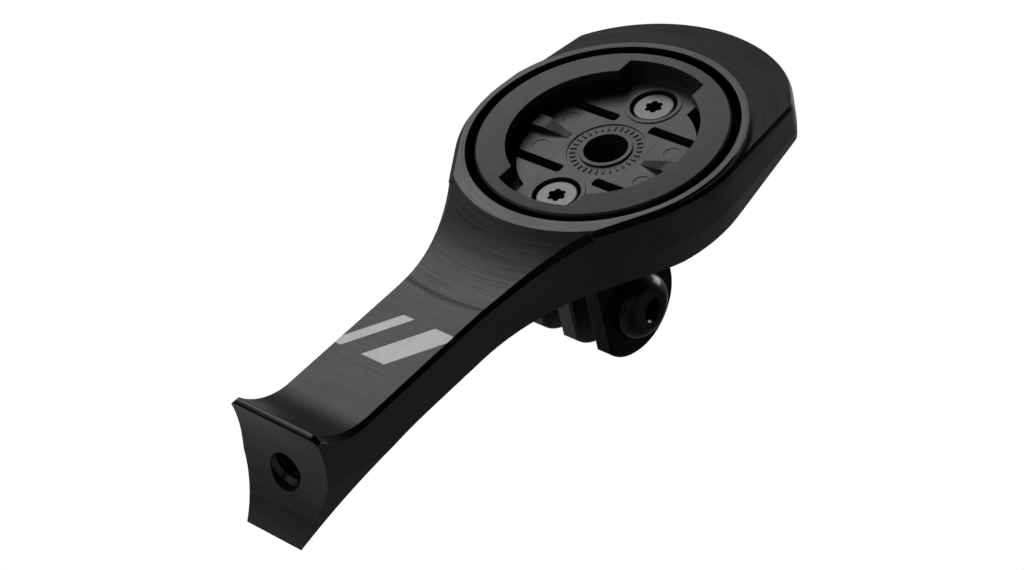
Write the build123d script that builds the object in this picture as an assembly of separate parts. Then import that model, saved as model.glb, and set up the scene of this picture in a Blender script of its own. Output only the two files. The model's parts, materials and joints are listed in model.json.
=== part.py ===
"""Handlebar-computer mount with a quarter-turn insert and a three-prong camera adapter.

Every piece is drawn about the head's centre: x across, +y from the foot to the nose,
z = 0 on the head's top face. The finished pieces are then moved so that the origin is on
the axis of the foot's threaded hole, where the full thread starts.
"""
from build123d import *
from math import asin, cos, hypot, radians, sin, sqrt, tan
import os

# ---- Driving dimensions, mm -------------------------------------------------------------

# Body: one machined billet, made of a round head, a waisted arm and a concave foot
head_r = 20.15              # head's wall, where it is round
edge_chamfer = 0.7          # along the top edge of the head
arm_chamfer = 0.55
lip_chamfer = 0.9
shoulder_chamfer = 0.4
underside_z = -9.5
rim_r = 19.65               # wall of the raised rim, round which the shoulder drops away
back_tangent_deg = -34.0    # where the round wall leaves for the arm
side_tangent_deg = 5.7      # where the round wall leaves for the nose
nose_corner_y = 17.4
nose_y = 27.7
nose_corner_r = 2.4
shoulder_start_y = -12.1    # the shoulder slopes down from here to the nose
shoulder_slope = 0.055
keel_start_y = -8.0         # the underside rises from here to the nose
keel_slope = 0.096
draft_z = -6.0              # the outer wall leans in below this height
draft_deg = 5.0
arm_half = 7.1
flare_r = 32.0              # flare between arm and head, tangent to both
arm_top_z = -2.9
crest_r = 20.6              # the hollow ramp between arm and head is turned about the head's axis
ramp_end_r = 33.6
step_y = -34.5              # behind this the arm's top is flat all the way across

foot_half = 7.45
foot_taper_start_y = -56.0
foot_fillet_r = 10.0
foot_fillet_start_y = -55.0
lip_z = 1.1
lip_round = 0.42
saddle_r = 16.5             # fits the round clamp of a handlebar stem
saddle_y, saddle_z = -80.05, -2.3
foot_bottom_z = -14.5
foot_sweep_start_y = -46.0
foot_cheek_z = -6.8         # the foot narrows in a flat cheek below this height
foot_tip_half = 4.8

stem_hole_z = -7.05
stem_tap_r = 2.1            # tap drill of an M5 thread
stem_sink_r = 2.7
stem_sink_depth = 0.1
stem_hole_depth = 9.0
drill_point = 0.58          # depth of a drill's cone for each mm of its radius

# Pocket for the insert
pocket_r = 18.6
pocket_z = -6.0
keel_pad_r = 18.2           # flat boss under the pocket
centre_hole_r = 3.05
screw_y = 10.5
screw_clear_r = 1.65

# Quarter-turn insert
ring_r = 17.35              # ring that stands above the flange
ring_chamfer = 0.25
flange_r = 18.45            # foot of the insert, which centres it in the pocket
flange_top_z = -4.8
lip_r = 13.15
lip_under_z = -1.3
track_r = 15.5              # the computer's tabs turn inside this wall
notch_half = 6.3
floor_z = -3.15
floor_thick = 1.5
window_r = 12.2             # moulding windows under the lips
window_end_x = 5.35
skirt_r = 15.9
hub_r = 5.4
boss_r = 4.2
head_pocket_r = 3.3         # counterbore for a screw's head, inside a low raised ring
pocket_ring_r, pocket_ring_height = 3.9, 0.15
dial_r = 5.4                # shallow round recess about the centre hole
dial_depth = 0.15
collar_r = 3.65
collar_height = 0.15
tick_count = 32
tick_in_r, tick_out_r, tick_half = 4.2, 5.0, 0.12
sink = 0.05                 # how far a raised detail is rooted in what carries it
slot_y, slot_half = 6.1, 0.775
slot_in_x = 2.8
slot_corner_r = 0.5

# Detent tongues, moulded with the insert
tongue_root_x = 5.60
tongue_root_gap = 0.15
tongue_half = slot_y - slot_half
ridge_in_x, ridge_full_x, ridge_out_x = 6.3, 10.3, 12.1
ridge_half_in, ridge_half_full, ridge_half_out = 0.45, 1.05, 1.2
ridge_draft = 0.15
ridge_height = 1.0
ejector_x, ejector_y, ejector_r, ejector_depth = 8.7, 3.3, 1.2, 0.08

# Insert screws, M3 with six-lobe sockets
screw_head_r, screw_head_top, screw_head_thick = 3.0, -3.3, 1.7
screw_head_round = 0.4
screw_shank_r, screw_length, screw_point = 1.5, 8.0, 0.35
lobe_r, lobe_count, lobe_depth = 1.25, 6, 1.1
lobe_gap_r, lobe_gap_at = 0.37, 1.35    # round ribs between the lobes

# Camera adapter under the head
adapter_half = 7.5
adapter_y = 13.9
adapter_plate_z = -13.5
adapter_corner_r = 2.5
prong_thick, prong_pitch = 3.0, 6.0
prong_r = 7.8
pivot_y, pivot_z = -7.36, -21.86
pivot_clear_r, pivot_thread_r = 2.65, 2.55
prong_chamfer = 0.35
screw_fit = 0.05            # gap round the insert screws in the adapter
adapter_tap_z = -13.1       # floor of their blind holes, above the prongs

# Pinch bolt, M5 x 16 button head
bolt_r, bolt_length, bolt_point = 2.5, 16.0, 0.5
bolt_head_r, bolt_head_rim, bolt_head_thick, bolt_flat_r = 4.75, 0.75, 2.75, 2.75
bolt_dome_bulge = 0.28      # how far the dome stands out from a straight cone, each way
bolt_hex_af, bolt_hex_depth = 3.0, 1.7
bolt_lead_in = 0.3

tall = 40.0                 # more than the model's height, for cutting tools


# ---- Helpers ----------------------------------------------------------------------------

def disc(radius, low, high, x=0.0, y=0.0):
    """Upright cylinder between two heights."""
    return Pos(x, y, (low + high) / 2) * Cylinder(radius, high - low)


def block(x0, x1, y0, y1, z0, z1):
    """Box between two corners."""
    centre = Pos((x0 + x1) / 2, (y0 + y1) / 2, (z0 + z1) / 2)
    return centre * Box(x1 - x0, y1 - y0, z1 - z0)


def round_cut(radius, x, y, z, half_length):
    """Cylinder along x."""
    return Pos(x, y, z) * Rot(0, 90, 0) * Cylinder(radius, 2 * half_length)


def polar(radius, angle):
    return (radius * cos(radians(angle)), radius * sin(radians(angle)))


def flip(point):
    return (-point[0], point[1])


def prism(face, low, high, taper=0.0):
    """Straight or drafted prism that hangs down from a plan outline."""
    return extrude(Pos(0, 0, high) * face, amount=high - low, dir=(0, 0, -1), taper=taper)


# ---- Body -------------------------------------------------------------------------------

def nose_arc():
    """Corner, tip and radius of the nose outline."""
    corner_x = head_r / cos(radians(side_tangent_deg)) - nose_corner_y * tan(radians(side_tangent_deg))
    centre_y = (nose_y**2 - nose_corner_y**2 - corner_x**2) / (2 * (nose_y - nose_corner_y))
    return (corner_x, nose_corner_y), (0, nose_y), nose_y - centre_y


def flare_points():
    """Start, middle and end of the flare that joins the arm to the head."""
    turn = radians(-back_tangent_deg)
    back_x, back_y = polar(head_r, back_tangent_deg)
    end_x = arm_half + flare_r * (1 - cos(turn))
    end_y = back_y + (end_x - back_x) / tan(turn)
    start_y = end_y - flare_r * sin(turn)
    mid = (arm_half + flare_r * (1 - cos(turn / 2)), start_y + flare_r * sin(turn / 2))
    return (arm_half, start_y), mid, (end_x, end_y)


def head_edges():
    """Right half of the head's outline, from the flare's end to the nose corner."""
    _, _, flare_end = flare_points()
    back = polar(head_r, back_tangent_deg)
    side = polar(head_r, side_tangent_deg)
    mid = polar(head_r, (back_tangent_deg + side_tangent_deg) / 2)
    corner, _, _ = nose_arc()
    return [Line(flare_end, back), ThreePointArc(back, mid, side), Line(side, corner)]


def mirrored(edges):
    return [edge.mirror(Plane.YZ) for edge in edges]


def closed_face(edges):
    """Face inside a loop of edges."""
    return make_face(Wire(edges).edges())


def rounded_nose(face):
    """Round the two nose corners of a plan face."""
    corners = [corner for corner in face.vertices() if abs(corner.Y - nose_corner_y) < 0.01]
    return fillet(corners, nose_corner_r)


def head_plan():
    """Outline of the head alone, closed across its back."""
    corner, tip, _ = nose_arc()
    right = head_edges()
    _, _, flare_end = flare_points()
    front = ThreePointArc(corner, tip, flip(corner))
    back = Line(flip(flare_end), flare_end)
    return rounded_nose(closed_face(right + [front] + mirrored(right) + [back]))


def arm_edges():
    """Right side of the arm, from behind the foot to the flare's end."""
    behind = (foot_half, saddle_y)
    heel = (foot_half, saddle_y + saddle_r)
    waist = (arm_half, foot_taper_start_y)
    start, mid, end = flare_points()
    return [Line(behind, heel), Line(heel, waist), Line(waist, start), ThreePointArc(start, mid, end)]


def arm_plan():
    """Outline of arm and foot, closed at the head."""
    right = arm_edges()
    _, _, end = flare_points()
    behind = (foot_half, saddle_y)
    ends = [Line(end, flip(end)), Line(flip(behind), behind)]
    return closed_face(right + ends + mirrored(right))


def saddle_face_y(z):
    """Where the foot's concave end face lies at one height."""
    return saddle_y + sqrt(saddle_r**2 - (z - saddle_z) ** 2)


def ramp_r():
    """Radius of the hollow ramp, level where it runs into the arm."""
    return ((ramp_end_r - crest_r) ** 2 + arm_top_z**2) / (-2 * arm_top_z)


def ramp_height(radius):
    """Height of the ramp at one distance from the head's axis."""
    run = min(max(ramp_end_r - radius, 0), ramp_end_r - crest_r)
    return arm_top_z + ramp_r() - sqrt(ramp_r() ** 2 - run**2)


def fillet_top_y():
    """Where the foot's fillet meets the top of its lip."""
    rise = arm_top_z + foot_fillet_r - lip_z
    return foot_fillet_start_y - sqrt(foot_fillet_r**2 - rise**2)


def side_profile():
    """Outline of the body seen from the side, in y and z."""
    fillet_centre_z = arm_top_z + foot_fillet_r
    lip_front = (fillet_top_y(), lip_z)
    turn = radians(22.5)
    lip_mid = (foot_fillet_start_y - foot_fillet_r * sin(turn), fillet_centre_z - foot_fillet_r * cos(turn))

    saddle_top = (saddle_face_y(lip_z), lip_z)
    saddle_low = (saddle_face_y(foot_bottom_z), foot_bottom_z)
    saddle_mid = (saddle_y + saddle_r * cos(radians(20)), saddle_z - saddle_r * sin(radians(20)))

    run = foot_sweep_start_y - saddle_low[0]
    drop = underside_z - foot_bottom_z
    sweep_r = (run**2 + drop**2) / (2 * drop)
    sweep_half = asin(run / sweep_r) / 2
    sweep_end = (foot_sweep_start_y, underside_z)
    sweep_mid_y = foot_sweep_start_y - sweep_r * sin(sweep_half)
    sweep_mid = (sweep_mid_y, underside_z - sweep_r * (1 - cos(sweep_half)))

    front = nose_y + 1
    keel_front = (front, underside_z + keel_slope * (front - keel_start_y))
    edges = [
        Line((front, 0), (step_y, 0)),
        Line((step_y, 0), (step_y, arm_top_z)),
        Line((step_y, arm_top_z), (foot_fillet_start_y, arm_top_z)),
        ThreePointArc((foot_fillet_start_y, arm_top_z), lip_mid, lip_front),
        Line(lip_front, saddle_top),
        ThreePointArc(saddle_top, saddle_mid, saddle_low),
        ThreePointArc(saddle_low, sweep_mid, sweep_end),
        Line(sweep_end, (keel_start_y, underside_z)),
        Line((keel_start_y, underside_z), keel_front),
        Line(keel_front, (front, 0)),
    ]
    face = closed_face(edges)
    corners = [corner for corner in face.vertices() if abs(corner.Y - lip_z) < 0.01]
    return fillet(corners, lip_round)


def across(face):
    """Turn a face drawn in y and z into a prism across the body."""
    return extrude(Plane.YZ * face, amount=tall, both=True)


def arm_width(y):
    """Half width of the arm and foot."""
    start, _, _ = flare_points()
    heel_y = saddle_y + saddle_r
    if y > start[1]:
        return arm_half + flare_r - sqrt(flare_r**2 - (y - start[1]) ** 2)
    if y > foot_taper_start_y:
        return arm_half
    return arm_half + (foot_half - arm_half) * (foot_taper_start_y - y) / (foot_taper_start_y - heel_y)


def arm_height(y):
    """Height of the arm's top face along its side edge."""
    if y > foot_fillet_start_y:
        return ramp_height(hypot(arm_width(y), y))
    if y < fillet_top_y():
        return lip_z
    return arm_top_z + foot_fillet_r - sqrt(foot_fillet_r**2 - (y - foot_fillet_start_y) ** 2)


def chamfer_section(y, size):
    """Triangle that cuts the arm's right top edge at one station."""
    x, z = arm_width(y), arm_height(y)
    reach = 2.0
    points = [(x - size - reach, z + reach), (x + reach, z - size - reach), (x + reach, z + reach)]
    face = make_face(Polyline(*points, close=True).edges())
    return Pos(0, y, 0) * (Plane(origin=(0, 0, 0), x_dir=(1, 0, 0), z_dir=(0, -1, 0)) * face)


def ramp_cut():
    """What is turned away above the ramp, behind the head."""
    beyond = crest_r - 2 * step_y
    half_run = (ramp_end_r + crest_r) / 2
    top = 3
    edges = [
        Line((crest_r, top), (crest_r, 0)),
        ThreePointArc((crest_r, 0), (half_run, ramp_height(half_run)), (ramp_end_r, arm_top_z)),
        Line((ramp_end_r, arm_top_z), (beyond, arm_top_z)),
        Line((beyond, arm_top_z), (beyond, top)),
        Line((beyond, top), (crest_r, top)),
    ]
    turned = revolve(Plane.XZ * closed_face(edges), axis=Axis.Z)
    return turned & block(-tall, tall, step_y, -head_r / 2, -tall, tall)


def arm_chamfers():
    """Cutters for both top edges of the arm, from the foot's lip to the end of the flare."""
    flare_start, _, flare_end = flare_points()
    lip_front_y = fillet_top_y()
    face_y = saddle_face_y(lip_z) - 1
    spans = [
        (face_y, lip_front_y, 1, lip_chamfer, lip_chamfer),
        (lip_front_y, foot_fillet_start_y, 5, lip_chamfer, arm_chamfer),
        (foot_fillet_start_y, flare_start[1], 1, arm_chamfer, arm_chamfer),
        (flare_start[1], flare_end[1], 10, arm_chamfer, edge_chamfer),
    ]
    cutters = []
    for start, end, steps, size_in, size_out in spans:
        sections = []
        for step in range(steps + 1):
            share = step / steps
            y = start + (end - start) * share
            sections.append(chamfer_section(y, size_in + (size_out - size_in) * share))
        cutter = loft(sections)
        cutters += [cutter, mirror(cutter, about=Plane.YZ)]
    return cutters


def blank():
    """Body before its foot, shoulder and pockets are cut."""
    foot_region = block(-tall, tall, -3 * tall, foot_fillet_start_y + 4, -tall, tall)
    upper = prism(head_plan() + arm_plan(), draft_z, 0)
    rim = [edge for edge in upper.edges() if edge.bounding_box().min.Z > -0.01]
    rim = [edge for edge in rim if abs((edge @ 0.5).X) > arm_half - 0.5 or (edge @ 0.5).Y > 0]
    upper = chamfer(rim, edge_chamfer)
    upper += prism(arm_plan(), draft_z, lip_z + 1) & foot_region
    lower = prism(head_plan() + arm_plan(), foot_bottom_z - 1, draft_z, taper=draft_deg)
    body = (upper + lower) & across(side_profile())
    body -= ramp_cut()
    for cutter in arm_chamfers():
        body -= cutter
    return body


def cheek_cut():
    """What is milled off the right side of the foot, below a slanting flat."""
    top = Vector(foot_half, saddle_face_y(foot_cheek_z), foot_cheek_z)
    tip = Vector(foot_tip_half, saddle_face_y(foot_bottom_z), foot_bottom_z)
    run_out = Vector(arm_half, foot_sweep_start_y + 1, underside_z)
    normal = (tip - top).cross(run_out - top).normalized()
    if normal.X < 0:
        normal = normal * -1
    outside = Plane(origin=top, z_dir=normal) * Pos(0, 0, tall) * Box(4 * tall, 4 * tall, 2 * tall)
    foot_region = block(0, tall, -3 * tall, foot_sweep_start_y + 2, -tall, tall)
    return outside & foot_region


def shoulder_height(y):
    """Height of the sloping shoulder."""
    return -shoulder_slope * (y - shoulder_start_y)


def shoulder_cut():
    """What is milled away in front, round the raised rim."""
    front = nose_y + 2
    points = [(shoulder_start_y, 0), (front, shoulder_height(front)), (front, 3), (shoulder_start_y, 3)]
    wedge = across(make_face(Polyline(*points, close=True).edges()))
    return wedge - disc(rim_r, -tall, tall)


def shoulder_edges(body):
    """Edges between the shoulder and the head's walls, ahead of the round wall's own chamfer."""
    start_y = shoulder_start_y + edge_chamfer / shoulder_slope
    found = []
    for edge in body.edges():
        points = [edge @ share for share in (0, 0.5, 1)]
        on_shoulder = max(abs(point.Z - shoulder_height(point.Y)) for point in points) < 0.01
        if on_shoulder and points[1].Y > start_y and hypot(points[1].X, points[1].Y) > rim_r + 0.1:
            found.append(edge)
    return found


def stem_hole():
    """Threaded blind hole in the foot, with its countersink."""
    mouth_y = saddle_face_y(stem_hole_z)
    point = stem_tap_r * drill_point
    thread_depth = stem_sink_depth + stem_sink_r - stem_tap_r
    profile = Polyline(
        (0, -3), (stem_sink_r, -3), (stem_sink_r, stem_sink_depth), (stem_tap_r, thread_depth),
        (stem_tap_r, stem_hole_depth), (0, stem_hole_depth + point), close=True)
    tool = revolve(make_face(profile.edges()), axis=Axis.Y)
    return Pos(0, mouth_y, stem_hole_z) * tool


def mount_body():
    body = blank()
    cheek = cheek_cut()
    body -= cheek
    body -= mirror(cheek, about=Plane.YZ)
    body -= shoulder_cut()
    body = chamfer(shoulder_edges(body), shoulder_chamfer)
    body += disc(keel_pad_r, underside_z, draft_z)
    body -= disc(pocket_r, pocket_z, tall)
    body -= disc(centre_hole_r, -tall, tall)
    for side in (-1, 1):
        body -= disc(screw_clear_r, -tall, tall, y=side * screw_y)
    body -= stem_hole()
    return body


# ---- Insert and tongues -----------------------------------------------------------------

def window(side, low, high):
    """Arc-shaped opening under one lip, with straight end walls."""
    ring = disc(track_r, low, high) - disc(window_r, low, high)
    x_in, x_out = sorted((side * window_end_x, side * tall))
    return ring & block(x_in, x_out, -tall, tall, low, high)


def tongue_slot(side, row, low, high):
    """Slot beside a tongue, rounded at its inner end."""
    y = row * slot_y
    x_in, x_out = sorted((side * slot_in_x, side * (window_r + 1)))
    slot = block(x_in, x_out, y - slot_half, y + slot_half, low, high)
    inner = [edge for edge in slot.edges().filter_by(Axis.Z) if abs(edge.center().X) < slot_in_x + 1]
    return fillet(inner, slot_corner_r)


def quarter_turn_insert():
    low = pocket_z
    floor_low = floor_z - floor_thick
    insert = disc(ring_r, low, 0)
    insert = chamfer(insert.edges().group_by(Axis.Z)[-1], ring_chamfer)
    insert += disc(flange_r, low, flange_top_z)
    insert -= disc(track_r, floor_z, lip_under_z)
    insert -= disc(lip_r, floor_z, tall)
    insert -= disc(track_r, floor_z, tall) & block(-notch_half, notch_half, -tall, tall, floor_z, tall)

    hollow = disc(skirt_r, low, floor_low) - disc(hub_r, low, floor_low)
    for side in (-1, 1):
        hollow -= disc(boss_r, low, floor_low, y=side * screw_y)
    insert -= hollow

    for side in (-1, 1):
        insert -= window(side, floor_low, floor_z)
        for row in (-1, 1):
            insert -= tongue_slot(side, row, floor_low, floor_z)
        x_in, x_out = sorted((side * (tongue_root_x - tongue_root_gap), side * (window_r + 0.5)))
        insert -= block(x_in, x_out, -slot_y, slot_y, floor_low, floor_z)

    insert -= disc(dial_r, floor_z - dial_depth, floor_z)
    insert += disc(collar_r, floor_z - dial_depth, floor_z + collar_height)
    for index in range(tick_count):
        angle = 360 * index / tick_count
        tick = block(tick_in_r, tick_out_r, -tick_half, tick_half, floor_z - dial_depth - sink, floor_z)
        insert += Rot(0, 0, angle) * tick
    insert -= disc(centre_hole_r, -tall, tall)
    for side in (-1, 1):
        insert += disc(pocket_ring_r, floor_z - sink, floor_z + pocket_ring_height, y=side * screw_y)
        insert -= disc(head_pocket_r, screw_head_top - screw_head_thick, floor_z + 1, y=side * screw_y)
        insert -= disc(screw_clear_r, -tall, 0, y=side * screw_y)
    return insert


def ridge_section(x, half_top, height):
    """Trapezium across the detent ridge."""
    half_base = half_top + ridge_draft
    low, top = floor_z - sink, floor_z + height
    points = [(-half_base, low), (half_base, low), (half_top, top), (-half_top, top)]
    return Pos(x, 0, 0) * (Plane.YZ * make_face(Polyline(*points, close=True).edges()))


def detent_tongue(side):
    floor_low = floor_z - floor_thick
    tongue = disc(window_r, floor_low, floor_z)
    tongue &= block(tongue_root_x, tall, -tongue_half, tongue_half, floor_low, floor_z)
    ramp = ridge_section(ridge_in_x, ridge_half_in, sink)
    full = ridge_section(ridge_full_x, ridge_half_full, ridge_height)
    end = ridge_section(ridge_out_x, ridge_half_out, ridge_height)
    tongue += loft([ramp, full])
    tongue += loft([full, end])
    for row in (-1, 1):
        tongue -= disc(ejector_r, floor_z - ejector_depth, floor_z, x=ejector_x, y=row * ejector_y)
    if side < 0:
        tongue = Rot(0, 0, 180) * tongue
    return tongue


# ---- Fasteners and adapter --------------------------------------------------------------

def insert_screw(y):
    low = screw_head_top - screw_head_thick
    head = disc(screw_head_r, low, screw_head_top)
    head = fillet(head.edges().group_by(Axis.Z)[-1], screw_head_round)
    screw = head + disc(screw_shank_r, low - screw_length, low)
    socket = disc(lobe_r, screw_head_top - lobe_depth, screw_head_top)
    for index in range(lobe_count):
        gap_x, gap_y = polar(lobe_gap_at, 360 * (index + 0.5) / lobe_count)
        socket -= disc(lobe_gap_r, -tall, tall, x=gap_x, y=gap_y)
    screw -= socket
    tip = screw.edges().group_by(Axis.Z)[0]
    screw = chamfer(tip, screw_point)
    return Pos(0, y, 0) * screw


def prong(x):
    """One ear of the camera interface."""
    top = adapter_plate_z + 0.5
    half = prong_thick / 2
    ear = round_cut(prong_r, x, pivot_y, pivot_z, half)
    ear += block(x - half, x + half, pivot_y - prong_r, pivot_y + prong_r, pivot_z, top)
    ear &= block(x - half, x + half, -adapter_y, tall, -tall, top)
    outline = [edge for edge in ear.edges() if edge.bounding_box().size.X < 0.01]
    outline = [edge for edge in outline if (edge @ 0.5).Z < top - 0.1]
    return chamfer(outline, prong_chamfer)


def camera_adapter():
    plate = block(-adapter_half, adapter_half, -adapter_y, adapter_y, adapter_plate_z, underside_z)
    front = [edge for edge in plate.edges().filter_by(Axis.Z) if (edge @ 0.5).Y > 0]
    adapter = fillet(front, adapter_corner_r)
    for index in (-1, 0, 1):
        adapter += prong(index * prong_pitch)
    for index, radius in ((-1, pivot_thread_r), (0, pivot_clear_r), (1, pivot_clear_r)):
        adapter -= round_cut(radius, index * prong_pitch, pivot_y, pivot_z, prong_thick / 2 + 0.5)
    for side in (-1, 1):
        adapter -= disc(screw_shank_r + screw_fit, adapter_tap_z, tall, y=side * screw_y)
    return adapter


def pinch_bolt():
    """Button-head bolt across the prongs, head on the right."""
    seat_x = prong_pitch + prong_thick / 2
    bulge_r = (bolt_head_r + bolt_flat_r) / 2 + bolt_dome_bulge
    bulge_z = (bolt_head_rim + bolt_head_thick) / 2 + bolt_dome_bulge
    outline = [
        Line((0, -bolt_length), (bolt_r - bolt_point, -bolt_length)),
        Line((bolt_r - bolt_point, -bolt_length), (bolt_r, -bolt_length + bolt_point)),
        Line((bolt_r, -bolt_length + bolt_point), (bolt_r, 0)),
        Line((bolt_r, 0), (bolt_head_r, 0)),
        Line((bolt_head_r, 0), (bolt_head_r, bolt_head_rim)),
        ThreePointArc((bolt_head_r, bolt_head_rim), (bulge_r, bulge_z), (bolt_flat_r, bolt_head_thick)),
        Line((bolt_flat_r, bolt_head_thick), (0, bolt_head_thick)),
        Line((0, bolt_head_thick), (0, -bolt_length)),
    ]
    bolt = revolve(Plane.XZ * closed_face(outline), axis=Axis.Z)
    hexagon = RegularPolygon(bolt_hex_af / 2, 6, major_radius=False)
    bolt -= prism(hexagon, bolt_head_thick - bolt_hex_depth, bolt_head_thick)
    lead_in = Cone(bolt_hex_af / 2, bolt_hex_af / 2 + bolt_lead_in, bolt_lead_in)
    bolt -= Pos(0, 0, bolt_head_thick - bolt_lead_in / 2) * lead_in
    return Pos(seat_x, pivot_y, pivot_z) * Rot(0, 90, 0) * bolt


# ---- Write the pieces -------------------------------------------------------------------

def row_origin():
    """Start of the full thread in the foot's hole."""
    full_thread_y = saddle_face_y(stem_hole_z) + stem_sink_depth + stem_sink_r - stem_tap_r
    return Vector(0, full_thread_y, stem_hole_z)


def write(name, shape):
    origin = row_origin()
    placed = Pos(-origin.X, -origin.Y, -origin.Z) * shape
    export_step(placed, "parts/" + name + ".step")
    size = placed.bounding_box().size
    print(name, len(placed.solids()), "solid(s)", round(placed.volume, 1), "mm3", size)


def main():
    os.makedirs("parts", exist_ok=True)
    screws = Compound([insert_screw(-screw_y), insert_screw(screw_y)])
    write("mount_body", mount_body())
    write("quarter_turn_insert", quarter_turn_insert())
    write("left_detent_tongue", detent_tongue(-1))
    write("right_detent_tongue", detent_tongue(1))
    write("insert_screws", screws)
    write("camera_adapter", camera_adapter())
    write("pinch_bolt", pinch_bolt())


if __name__ == "__main__":
    main()
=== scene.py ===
import json
import math

import bmesh
import bpy
from mathutils import Matrix, Vector


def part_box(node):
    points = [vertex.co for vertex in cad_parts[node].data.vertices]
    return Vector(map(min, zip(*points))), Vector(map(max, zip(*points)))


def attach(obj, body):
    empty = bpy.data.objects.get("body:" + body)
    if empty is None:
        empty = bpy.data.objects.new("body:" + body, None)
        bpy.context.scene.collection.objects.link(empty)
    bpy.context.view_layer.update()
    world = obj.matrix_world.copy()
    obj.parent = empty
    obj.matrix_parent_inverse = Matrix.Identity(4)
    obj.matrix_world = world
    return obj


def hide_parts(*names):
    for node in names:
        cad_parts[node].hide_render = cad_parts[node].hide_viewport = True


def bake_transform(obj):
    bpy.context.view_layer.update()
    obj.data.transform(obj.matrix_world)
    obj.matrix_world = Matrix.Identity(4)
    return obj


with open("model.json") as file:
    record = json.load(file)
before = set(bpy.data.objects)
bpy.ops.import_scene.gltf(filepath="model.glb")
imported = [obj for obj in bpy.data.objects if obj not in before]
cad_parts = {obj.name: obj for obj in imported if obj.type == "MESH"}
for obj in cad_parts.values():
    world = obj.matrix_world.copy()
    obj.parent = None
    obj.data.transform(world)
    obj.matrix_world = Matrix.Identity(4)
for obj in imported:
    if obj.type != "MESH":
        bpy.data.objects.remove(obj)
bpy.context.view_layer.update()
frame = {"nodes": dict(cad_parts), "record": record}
NODES = frame["nodes"]
RECORD = frame["record"]
MM = 0.001


# ---- Places read from the frame ---------------------------------------------------------

def mount_place(name):
    """Where one of the record's mounts is, in metres."""
    for mount in RECORD["mounts"]:
        if mount["name"] == name:
            return Vector(mount["pos_m"])
    raise KeyError(name)


HEAD = mount_place("computer_socket")       # head's centre on its top face
PIVOT = mount_place("camera_prongs")
STEM = mount_place("stem_bolt_hole")


# ---- Pieces -----------------------------------------------------------------------------

SHARP_ANGLE = 25


def new_piece(name, work, body):
    mesh = bpy.data.meshes.new(name)
    work.to_mesh(mesh)
    work.free()
    piece = bpy.data.objects.new(name, mesh)
    bpy.context.scene.collection.objects.link(piece)
    if mesh.has_custom_normals:     # those of the CAD mesh no longer fit a mesh that was cut
        mesh.attributes.remove(mesh.attributes["custom_normal"])
    mesh.set_sharp_from_angle(angle=math.radians(SHARP_ANGLE))
    if body:
        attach(piece, body)
    return piece


ROOT_X = 5.45 * MM                          # cut face of the insert, which each tongue grows from
BEND_START, BEND_END, BEND_STEP = 5.55 * MM, 7.6 * MM, 0.25 * MM
WELD, ON_ROOT, ON_CUT = 0.002 * MM, 0.01 * MM, 0.001 * MM


def spring_tongue(side, node, name):
    """One detent tongue, joined to the insert and cut finely enough to bend at its root."""
    work = bmesh.new()
    work.from_mesh(NODES[node].data)
    bmesh.ops.remove_doubles(work, verts=work.verts, dist=WELD)
    root = min(abs(vert.co.x) for vert in work.verts)
    for vert in work.verts:
        if abs(vert.co.x) < root + ON_ROOT:
            vert.co.x = side * ROOT_X
    cut_x = ROOT_X + BEND_STEP
    while cut_x < BEND_END + BEND_STEP:
        geometry = work.verts[:] + work.edges[:] + work.faces[:]
        bmesh.ops.bisect_plane(
            work, geom=geometry, dist=ON_CUT, plane_co=(side * cut_x, 0, 0), plane_no=(1, 0, 0))
        cut_x += BEND_STEP
    for face in work.faces:
        face.smooth = False
    piece = new_piece(name, work, None)
    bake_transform(piece)
    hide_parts(node)
    return piece


THREAD_PITCH, THREAD_TURNS, THREAD_STEPS = 0.8, 9, 40
THREAD_START, THREAD_FADE_TURNS = 0.35, 0.4     # depth of the first turn, and how it fades in
THREAD_ROOT_R, THREAD_CREST_R = 2.13, 1.93
THREAD_ROOT_HALF, THREAD_CREST_HALF = 0.34, 0.06


def foot_thread():
    """Helical ridge of the thread in the foot's hole."""
    work = bmesh.new()
    rows = []
    for step in range(THREAD_TURNS * THREAD_STEPS + 1):
        angle = 2 * math.pi * step / THREAD_STEPS
        depth = THREAD_PITCH * step / THREAD_STEPS + THREAD_START
        fade = min(1.0, step / (THREAD_FADE_TURNS * THREAD_STEPS))
        crest = THREAD_ROOT_R + (THREAD_CREST_R - THREAD_ROOT_R) * fade
        section = (
            (THREAD_ROOT_R, -THREAD_ROOT_HALF),
            (crest, -THREAD_CREST_HALF),
            (crest, THREAD_CREST_HALF),
            (THREAD_ROOT_R, THREAD_ROOT_HALF))
        row = []
        for radius, shift in section:
            place = Vector((radius * math.cos(angle), depth + shift, radius * math.sin(angle)))
            row.append(work.verts.new(STEM + place * MM))
        rows.append(row)
    for before, after in zip(rows, rows[1:]):
        for index in range(len(before) - 1):
            work.faces.new((before[index], before[index + 1], after[index + 1], after[index]))
    bmesh.ops.recalc_face_normals(work, faces=work.faces[:])
    for face in work.faces:
        face.smooth = True
    return new_piece("foot_thread", work, "mount")


# ---- Shader helpers ---------------------------------------------------------------------

# A pair such as GAP_TOP_Z says where a mask starts to rise and where it is full. Places are in
# mm from the head's centre on its top face, or from the bracket's pivot.
BUMP_DEPTH = 0.02 * MM
BEVEL_SAMPLES = 6
# Painted shade deep in the ring-shaped gap between body and insert
GAP_R, GAP_HALF, GAP_SOFT = 17.98, 0.66, 0.05
GAP_TOP_Z, GAP_FLOOR_Z = (-0.5, -0.9), (-6.2, -6.1)
GAP_PAINTED_SHADE = 0.97


def new_material(name):
    material = bpy.data.materials.new(name)
    material.use_nodes = True
    return material, material.node_tree.nodes["Principled BSDF"]


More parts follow.
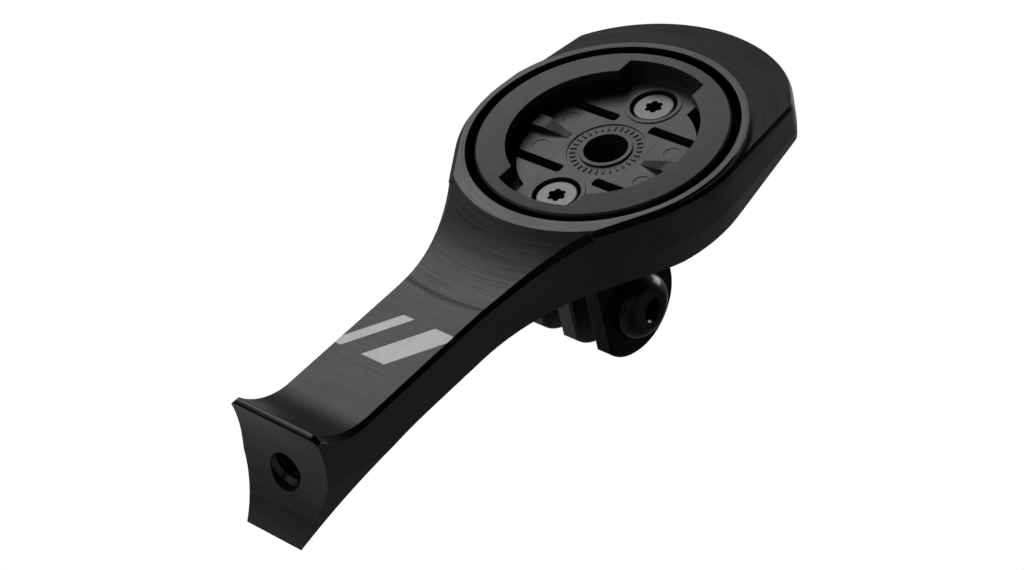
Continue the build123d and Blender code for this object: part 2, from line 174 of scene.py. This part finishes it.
class Nodes:
    """Short ways to add and link shader nodes."""

    def __init__(self, tree):
        self.tree = tree

    def add(self, kind, inputs=None, **settings):
        node = self.tree.nodes.new(kind)
        for key, value in settings.items():
            setattr(node, key, value)
        for key, value in (inputs or {}).items():
            self.feed(node.inputs[key], value)
        return node

    def feed(self, socket, value):
        if isinstance(value, bpy.types.NodeSocket):
            self.tree.links.new(value, socket)
        else:
            socket.default_value = value

    def math(self, operation, a, b=None, c=None):
        node = self.tree.nodes.new("ShaderNodeMath")
        node.operation = operation
        for index, value in enumerate((a, b, c)):
            if value is not None:
                self.feed(node.inputs[index], value)
        return node.outputs[0]

    def smooth(self, value, low, high, start=0.0, end=1.0):
        """From start to end as the value goes from low to high, eased."""
        node = self.tree.nodes.new("ShaderNodeMapRange")
        node.interpolation_type = "SMOOTHSTEP"
        self.feed(node.inputs["Value"], value)
        for key, number in (("From Min", low), ("From Max", high), ("To Min", start), ("To Max", end)):
            node.inputs[key].default_value = number
        return node.outputs["Result"]

    def band(self, value, centre, half, soft):
        """1 within half of the centre, 0 outside."""
        off = self.math("ABSOLUTE", self.math("SUBTRACT", value, centre))
        return self.smooth(off, half - soft, half + soft, 1.0, 0.0)

    def times(self, *values):
        total = values[0]
        for value in values[1:]:
            total = self.math("MULTIPLY", total, value)
        return total

    def plus(self, *values):
        total = values[0]
        for value in values[1:]:
            total = self.math("ADD", total, value)
        return total

    def place(self, centre):
        """Object coordinates in millimetres from a centre, as a vector and its three parts."""
        coordinates = self.add("ShaderNodeTexCoord").outputs["Object"]
        moved = self.add("ShaderNodeVectorMath", {0: coordinates, 1: -centre}, operation="ADD")
        scaled = self.add("ShaderNodeVectorMath", {0: moved.outputs[0]}, operation="SCALE")
        scaled.inputs["Scale"].default_value = 1 / MM
        parts = self.add("ShaderNodeSeparateXYZ", {0: scaled.outputs[0]})
        return scaled.outputs[0], parts.outputs[0], parts.outputs[1], parts.outputs[2]

    def radius(self, x, y):
        return self.math("SQRT", self.plus(self.times(x, x), self.times(y, y)))

    def vector(self, x, y, z):
        return self.add("ShaderNodeCombineXYZ", {0: x, 1: y, 2: z}).outputs[0]

    def noise(self, vector, scale, detail, stretch=(1, 1, 1)):
        mapped = self.add("ShaderNodeVectorMath", {0: vector, 1: stretch}, operation="MULTIPLY")
        inputs = {"Vector": mapped.outputs[0], "Scale": scale, "Detail": detail}
        node = self.add("ShaderNodeTexNoise", inputs)
        return node.outputs["Fac"]

    def surface(self, height, strength, edge):
        """Normal with slightly broken edges and a fine texture."""
        broken = self.add("ShaderNodeBevel", {"Radius": edge * MM}, samples=BEVEL_SAMPLES).outputs[0]
        inputs = {"Height": height, "Strength": strength, "Distance": BUMP_DEPTH, "Normal": broken}
        return self.add("ShaderNodeBump", inputs).outputs[0]

    def gap(self, r, z):
        """Painted shade: almost 0 deep in the ring-shaped gap between body and insert, 1 elsewhere."""
        ring = self.band(r, GAP_R, GAP_HALF, GAP_SOFT)
        deep = self.times(self.smooth(z, *GAP_TOP_Z, 0.0, GAP_PAINTED_SHADE), self.smooth(z, *GAP_FLOOR_Z))
        return self.math("SUBTRACT", 1.0, self.times(ring, deep))

    def grey(self, value):
        return self.add("ShaderNodeCombineColor", {0: value, 1: value, 2: value}).outputs[0]


def grey(value):
    return (value, value, value, 1.0)


# ---- Materials --------------------------------------------------------------------------
#
# Some brightness is set by place, to match the photo: it stays the same in any light.

GRAIN_DETAIL, PATCH_DETAIL = 4.0, 3.0
NOISE_MEAN = 0.5

MARK_Y, MARK_HALF = -42.8, 4.1              # plain bars on the arm
MARK_SLANT = 0.66
MARK_SOFT = 0.07
MARK_BARS = ((-3.8, 0.95), (2.7, 2.0))      # where each bar is, and its half width
MARK_Z = (-3.3, -3.1)                       # the arm's top and not its underside
MARK_GREY = (0.40, 0.52)
MARK_ROUGHER = 0.12

RING_FINENESS, RING_DRIFT = 4.0, 0.10       # across the rings, and along them
ARM_LINES = (0.10, 3.0, 0.6)
ARM_LINE_DEPTH, END_LINE_DEPTH = 0.5, 0.5   # against those turned about the head
GRAIN_DEPTH = 0.5
STREAK_GAIN, STREAK_LEAST = 1.6, 0.2        # how the lines vary the shine
TURNED_R = (33.9, 33.3)                     # ramp turned about the head, in front of the arm
FACES_UP, FACES_BACK = (0.2, 0.6), (-0.6, -0.9)
MEET_R, MEET_HALF, MEET_SOFT = 33.75, 0.30, 0.40
MEET_Y = (-30.0, -32.0)
MEET_DARK = 0.30

# Painted sheen: where the rim and lower wall get more shine and the shoulder less
RIM_R, RIM_Z = (20.8, 20.5), (-0.12, -0.04)
SHOULDER_R, SHOULDER_Y, SHOULDER_Z = (19.6, 19.8), (-9.0, 2.0), (-2.6, -2.4)
LOW_WALL_Z, LOW_WALL_Y = (-5.95, -6.05), (-16.0, -2.0)
BODY_SHINE, RIM_SHINE, SHOULDER_SHINE, LOW_WALL_SHINE = 0.42, 0.22, -0.18, 0.45

FOOT_Y, FOOT_HOLE_Z = (STEM.y - HEAD.y) / MM, (STEM.z - HEAD.z) / MM
# Painted shade on the foot's lip edge, in its hole and on the side chamfers
LIP_Z, LIP_HALF, LIP_SOFT = 0.76, 0.22, 0.06
LIP_Y = (FOOT_Y - 0.07, FOOT_Y - 0.17)
BORE_R, BORE_SOFT = 2.6, 0.1
BORE_Y, BORE_END_Y = (FOOT_Y + 0.05, FOOT_Y + 0.95), (-50.0, -51.0)
CHAMFER_ACROSS = (0.22, 0.36)               # how far a chamfer's face is turned sideways
CHAMFER_UP, CHAMFER_UP_HALF, CHAMFER_SOFT = 0.70, 0.14, 0.04
CHAMFER_DARK, PAINTED_SHADE_DEPTH = 0.9, 0.9


def cutter_lines(n, vector, x, y, r, upward, backward):
    """Fine lines left by the cutter: rings about the head, straight across on the arm."""
    ring_place = n.vector(n.times(r, RING_FINENESS), n.times(x, RING_DRIFT), n.times(y, RING_DRIFT))
    rings = n.noise(ring_place, 1.0, GRAIN_DETAIL)
    lines = n.noise(vector, 1.0, GRAIN_DETAIL, stretch=ARM_LINES)
    turned = n.smooth(r, *TURNED_R)
    cut = n.plus(n.times(rings, turned), n.times(lines, n.math("SUBTRACT", 1.0, turned)))
    on_top = n.times(upward, n.math("MULTIPLY_ADD", turned, 1.0 - ARM_LINE_DEPTH, ARM_LINE_DEPTH))
    depth = n.plus(on_top, backward)
    return n.math("MULTIPLY_ADD", n.math("SUBTRACT", cut, NOISE_MEAN), depth, NOISE_MEAN)


def lasered_mark(n, x, y, z):
    """1 in the plain bars on the arm's top."""
    along = n.math("SUBTRACT", y, MARK_Y)
    straight = n.math("SUBTRACT", x, n.times(along, MARK_SLANT))
    bars = n.plus(*[n.band(straight, at, half, MARK_SOFT) for at, half in MARK_BARS])
    return n.times(bars, n.band(along, 0.0, MARK_HALF, MARK_SOFT), n.smooth(z, *MARK_Z))


def body_painted_sheen(n, r, y, z):
    """Painted sheen set by place: the turned rim and the lower wall shine more, the milled shoulder
    less.
    """
    rim = n.times(n.smooth(r, *RIM_R), n.smooth(z, *RIM_Z))
    shoulder = n.times(
        n.smooth(r, *SHOULDER_R), n.smooth(y, *SHOULDER_Y), n.smooth(z, *SHOULDER_Z))
    low_wall = n.times(n.smooth(z, *LOW_WALL_Z), n.smooth(y, *LOW_WALL_Y))
    return n.plus(
        BODY_SHINE,
        n.times(rim, RIM_SHINE),
        n.times(shoulder, SHOULDER_SHINE),
        n.times(low_wall, LOW_WALL_SHINE))


def body_painted_shade(n, x, y, z, across, up):
    """Painted shade: near 0 on the rounded edge of the foot's lip, in its hole and on the sides'
    chamfers.
    """
    lip = n.times(n.band(z, LIP_Z, LIP_HALF, LIP_SOFT), n.smooth(y, *LIP_Y))
    in_hole = n.band(n.radius(x, n.math("SUBTRACT", z, FOOT_HOLE_Z)), 0.0, BORE_R, BORE_SOFT)
    bore = n.times(n.smooth(y, *BORE_Y), n.smooth(y, *BORE_END_Y), in_hole)
    sideways = n.math("ABSOLUTE", across)
    chamfer = n.times(
        n.smooth(sideways, *CHAMFER_ACROSS), n.band(up, CHAMFER_UP, CHAMFER_UP_HALF, CHAMFER_SOFT))
    dark = n.plus(lip, bore, n.times(chamfer, CHAMFER_DARK))
    return n.math("MULTIPLY_ADD", dark, -PAINTED_SHADE_DEPTH, 1.0)


def anodised_body():
    material, shader = new_material("black_anodised_body")
    n = Nodes(material.node_tree)
    vector, x, y, z = n.place(HEAD)
    r = n.radius(x, y)
    normal = n.add("ShaderNodeTexCoord").outputs["Normal"]
    across, along, up = n.add("ShaderNodeSeparateXYZ", {0: normal}).outputs
    upward = n.smooth(up, *FACES_UP)
    backward = n.smooth(along, *FACES_BACK, 0.0, END_LINE_DEPTH)

    cut = cutter_lines(n, vector, x, y, r, upward, backward)
    grain = n.noise(vector, 6.0, GRAIN_DETAIL)
    patches = n.noise(vector, 0.22, PATCH_DETAIL)
    height = n.plus(cut, n.times(grain, GRAIN_DEPTH))
    n.feed(shader.inputs["Normal"], n.surface(height, 0.30, 0.14))

    # Darker line where two passes of the cutter meet on the arm
    meet = n.times(n.band(r, MEET_R, MEET_HALF, MEET_SOFT), n.smooth(y, *MEET_Y), upward)
    mark = lasered_mark(n, x, y, z)
    rough = n.plus(0.30, n.times(patches, 0.08), n.times(cut, 0.07), n.times(meet, 0.10))
    n.feed(shader.inputs["Roughness"], n.plus(rough, n.times(mark, MARK_ROUGHER)))
    n.feed(shader.inputs["Metallic"], mark)

    dark = n.math("MULTIPLY_ADD", patches, 0.006, 0.008)
    light = n.smooth(n.noise(vector, 9.0, PATCH_DETAIL), 0.25, 0.75, *MARK_GREY)
    base = n.add("ShaderNodeMix", {0: mark}, data_type="FLOAT")
    n.feed(base.inputs[2], dark)
    n.feed(base.inputs[3], light)

    # Painted shade deep in the gap around the insert
    gap = n.gap(r, z)
    # Painted shade on the foot's lip edge, in its hole and on the side chamfers
    painted_shade_factor = body_painted_shade(n, x, y, z, across, up)
    streaks = n.math("MULTIPLY_ADD", cut, STREAK_GAIN, STREAK_LEAST)
    shade = n.math("MULTIPLY_ADD", meet, -MEET_DARK, 1.0)
    # Painted sheen set by place, times the painted shade
    shine = n.times(body_painted_sheen(n, r, y, z), gap, streaks, shade, painted_shade_factor)
    n.feed(shader.inputs["Specular IOR Level"], shine)
    n.feed(shader.inputs["Base Color"], n.grey(n.times(base.outputs[0], gap, painted_shade_factor)))
    shader.inputs["IOR"].default_value = 1.6
    return material


def grained(n, shader, vector, grain, patch, rough, bump, edge):
    """Fine grain and slow patches of roughness, with broken edges. Gives the patches back.

    Grain and patch are noise scales, and rough is the least roughness and what patches add.
    """
    patches = n.noise(vector, patch, PATCH_DETAIL)
    least, more = rough
    n.feed(shader.inputs["Roughness"], n.plus(least, n.times(patches, more)))
    n.feed(shader.inputs["Normal"], n.surface(n.noise(vector, grain, GRAIN_DETAIL), bump, edge))
    return patches


RING_TOP_Z = (-0.5, -0.3)
# Painted sheen: the ring's top shines more towards the nose and the left; the floor shines more than
# the ring
RING_SHEEN, RING_SHEEN_X, RING_SHEEN_Y = 0.010, -0.5, 0.85
INSERT_FLOOR_Z, INSERT_SHINE = (-2.6, -2.9), (0.46, 0.75)


def moulded_plastic():
    material, shader = new_material("black_moulded_plastic")
    n = Nodes(material.node_tree)
    vector, x, y, z = n.place(HEAD)
    patches = grained(n, shader, vector, 7.0, 0.35, (0.34, 0.12), 0.20, 0.07)
    # Painted shade on the insert deep in the gap around it
    gap = n.gap(n.radius(x, y), z)
    base = n.math("MULTIPLY_ADD", patches, 0.010, 0.012)
    n.feed(shader.inputs["Base Color"], n.grey(n.times(gap, base)))
    # Painted sheen across the ring's top
    ring_painted_sheen = n.times(
        n.plus(n.times(x, RING_SHEEN_X), n.times(y, RING_SHEEN_Y)), n.smooth(z, *RING_TOP_Z))
    shine = n.plus(n.smooth(z, *INSERT_FLOOR_Z, *INSERT_SHINE), n.times(ring_painted_sheen, RING_SHEEN))
    n.feed(shader.inputs["Specular IOR Level"], n.times(shine, gap))
    shader.inputs["IOR"].default_value = 1.55
    return material


SOCKET_Z = (-3.75, -3.45)                   # painted shade: the screws' sockets are dark inside


def screw_steel():
    material, shader = new_material("plain_screw_steel")
    n = Nodes(material.node_tree)
    vector, _, _, z = n.place(HEAD)
    patches = grained(n, shader, vector, 5.0, 1.2, (0.26, 0.14), 0.20, 0.07)
    base = n.math("MULTIPLY_ADD", patches, 0.10, 0.10)
    # Painted shade inside the sockets
    n.feed(shader.inputs["Base Color"], n.grey(n.times(n.smooth(z, *SOCKET_Z), base)))
    shader.inputs["Metallic"].default_value = 1.0
    return material


EAR_X, EAR_SHINE_PAINTED_SHADE = (4.80, 4.95), (0.50, 0.05)   # painted shade: far less shine on the prong beside the bolt's head


def bracket_black():
    material, shader = new_material("black_anodised_bracket")
    n = Nodes(material.node_tree)
    vector, x, _, _ = n.place(PIVOT)
    patches = grained(n, shader, vector, 6.0, 0.4, (0.26, 0.12), 0.20, 0.07)
    n.feed(shader.inputs["Base Color"], n.grey(n.math("MULTIPLY_ADD", patches, 0.004, 0.002)))
    # Painted shade: far less shine on the prong beside the bolt's head
    n.feed(shader.inputs["Specular IOR Level"], n.smooth(x, *EAR_X, *EAR_SHINE_PAINTED_SHADE))
    return material


def bolt_black():
    material, shader = new_material("black_oxide_steel")
    n = Nodes(material.node_tree)
    vector = n.place(PIVOT)[0]
    patches = grained(n, shader, vector, 4.0, 0.5, (0.17, 0.10), 0.15, 0.10)
    n.feed(shader.inputs["Base Color"], n.grey(n.math("MULTIPLY_ADD", patches, 0.006, 0.003)))
    shader.inputs["Specular IOR Level"].default_value = 0.16
    return material


def paint(obj, material):
    obj.data.materials.clear()
    obj.data.materials.append(material)


# ---- Studio -----------------------------------------------------------------------------

AZIMUTH, ELEVATION, ROLL = 49.401, 39.702, 13.988
AIM = HEAD + Vector((9.426, -29.864, 0.0)) * MM
DISTANCE = 318.2 * MM
LENS = 89.734


def add_camera():
    azimuth, elevation = math.radians(AZIMUTH), math.radians(ELEVATION)
    back = Vector((
        math.sin(azimuth) * math.cos(elevation),
        -math.cos(azimuth) * math.cos(elevation),
        math.sin(elevation)))
    data = bpy.data.cameras.new("camera")
    data.lens = LENS
    data.sensor_width = 36
    data.clip_start, data.clip_end = 0.01, 20
    camera = bpy.data.objects.new("camera", data)
    camera.rotation_mode = "QUATERNION"
    turn = (-back).to_track_quat("-Z", "Y")
    roll = Matrix.Rotation(-math.radians(ROLL), 4, "Z").to_quaternion()
    camera.rotation_quaternion = turn @ roll
    camera.location = AIM + back * DISTANCE
    bpy.context.scene.collection.objects.link(camera)
    bpy.context.scene.camera = camera


def area_light(name, direction, distance, size, power, target):
    data = bpy.data.lights.new(name, "AREA")
    data.shape = "RECTANGLE"
    data.size, data.size_y = size
    data.energy = power
    light = bpy.data.objects.new(name, data)
    away = Vector(direction).normalized()
    light.location = target + away * distance
    light.rotation_mode = "QUATERNION"
    light.rotation_quaternion = (-away).to_track_quat("-Z", "Y")
    bpy.context.scene.collection.objects.link(light)


# Soft panels that light the sides turned away from the camera: direction, the cosine at which
# a panel begins and the cosine at which it is full, and its strength
PANELS = (
    ((0.62, -0.53, 0.57), 0.86, 0.95, 0.22),
    ((0.97, 0.15, -0.12), 0.82, 0.94, 0.25),
    ((0.10, 0.98, -0.12), 0.84, 0.95, 0.25),
    ((-0.66, 0.56, -0.50), 0.84, 0.95, 0.20),
)
DIAGONAL = 0.707                            # one over the root of two
FLOOR_Z, FLOOR_FRONT, FLOOR_STRENGTH = (0.03, 0.13), (-0.2, 0.6), 0.28
BOX_BOTTOM_Z, BOX_TOP_Z, BOX_FRONT, BOX_STRENGTH = (0.29, 0.37), (0.72, 0.85), (0.40, 0.70), 0.55
AHEAD_Y, AHEAD_Z, AHEAD_STRENGTH = (0.55, 0.70), (-0.70, -0.60), 0.12
ROOM_UP, ROOM_BACK, ROOM_SPREAD, ROOM_STRENGTH = 0.6, -0.5, (0.1, 0.6), (0.085, 0.006)
ROOM_FRONT, ROOM_FRONT_FACTOR = (0.0, 0.7), (1.0, 0.3)


def add_world():
    """Dim room: a lit floor, a softbox towards the front left, a faint glow from low ahead of
    the nose and four side panels.
    """
    world = bpy.data.worlds.new("studio")
    bpy.context.scene.world = world
    world.use_nodes = True
    n = Nodes(world.node_tree)
    direction = n.add("ShaderNodeTexCoord").outputs["Generated"]
    x, y, z = n.add("ShaderNodeSeparateXYZ", {0: direction}).outputs
    front_left = n.times(n.plus(x, y), -DIAGONAL)
    floor = n.times(
        n.smooth(z, *FLOOR_Z, 1.0, 0.0), n.smooth(front_left, *FLOOR_FRONT, 0.0, FLOOR_STRENGTH))
    softbox = n.times(
        n.smooth(z, *BOX_BOTTOM_Z),
        n.smooth(z, *BOX_TOP_Z, 1.0, 0.0),
        n.smooth(front_left, *BOX_FRONT, 0.0, BOX_STRENGTH))
    ahead = n.times(n.smooth(y, *AHEAD_Y), n.smooth(z, *AHEAD_Z, AHEAD_STRENGTH, 0.0))
    backwards = n.plus(n.times(z, ROOM_UP), n.times(front_left, ROOM_BACK))
    room = n.times(
        n.smooth(backwards, *ROOM_SPREAD, *ROOM_STRENGTH),
        n.smooth(front_left, *ROOM_FRONT, *ROOM_FRONT_FACTOR))
    sides = []
    for towards, outer, inner, strength in PANELS:
        unit = Vector(towards).normalized()
        dot = n.add("ShaderNodeVectorMath", {0: direction, 1: unit}, operation="DOT_PRODUCT")
        sides.append(n.smooth(dot.outputs["Value"], outer, inner, 0.0, strength))
    background = world.node_tree.nodes["Background"]
    background.inputs["Color"].default_value = grey(1.0)
    n.feed(background.inputs["Strength"], n.plus(room, floor, softbox, ahead, *sides))


def camera_only(obj):
    obj.visible_diffuse = False
    obj.visible_glossy = False
    obj.visible_transmission = False
    obj.visible_volume_scatter = False
    obj.visible_shadow = False


def glowing(name, strength):
    material, shader = new_material(name)
    shader.inputs["Base Color"].default_value = grey(0.0)
    shader.inputs["Specular IOR Level"].default_value = 0.0
    shader.inputs["Emission Color"].default_value = grey(1.0)
    shader.inputs["Emission Strength"].default_value = strength
    return material


FLOOR_DROP, FLOOR_SIZE, DOME_RADIUS = 12.0 * MM, 3.0, 1.5


def add_stage():
    floor_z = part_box("camera_adapter")[0].z - FLOOR_DROP
    bpy.ops.mesh.primitive_plane_add(size=FLOOR_SIZE, location=(0, HEAD.y / 2, floor_z))
    floor = bpy.context.object
    floor.name = "floor"
    bpy.ops.mesh.primitive_uv_sphere_add(
        radius=DOME_RADIUS, segments=48, ring_count=24, location=(0, 0, floor_z))
    dome = bpy.context.object
    dome.name = "backdrop"
    for piece, name in ((floor, "pale_floor"), (dome, "pale_backdrop")):
        paint(piece, glowing(name, 1.0))
        camera_only(piece)


def add_lights():
    centre = (HEAD + STEM) / 2
    area_light("key", (-0.54, 0.42, 0.73), 0.6, (0.32, 0.32), 0.82, centre)
    area_light("low", (0.21, 0.97, -0.06), 0.16, (0.08, 0.06), 0.12, PIVOT)


def add_pieces():
    plastic = moulded_plastic()
    body = anodised_body()
    paint(NODES["mount_body"], body)
    paint(NODES["quarter_turn_insert"], plastic)
    paint(NODES["insert_screws"], screw_steel())
    paint(NODES["camera_adapter"], bracket_black())
    paint(NODES["pinch_bolt"], bolt_black())
    paint(spring_tongue(-1, "left_detent_tongue", "left_spring_tongue"), plastic)
    paint(spring_tongue(1, "right_detent_tongue", "right_spring_tongue"), plastic)
    thread = foot_thread()
    paint(thread, body)


add_pieces()
add_camera()
add_world()
add_stage()
add_lights()
bpy.context.scene.view_settings.view_transform = "Standard"
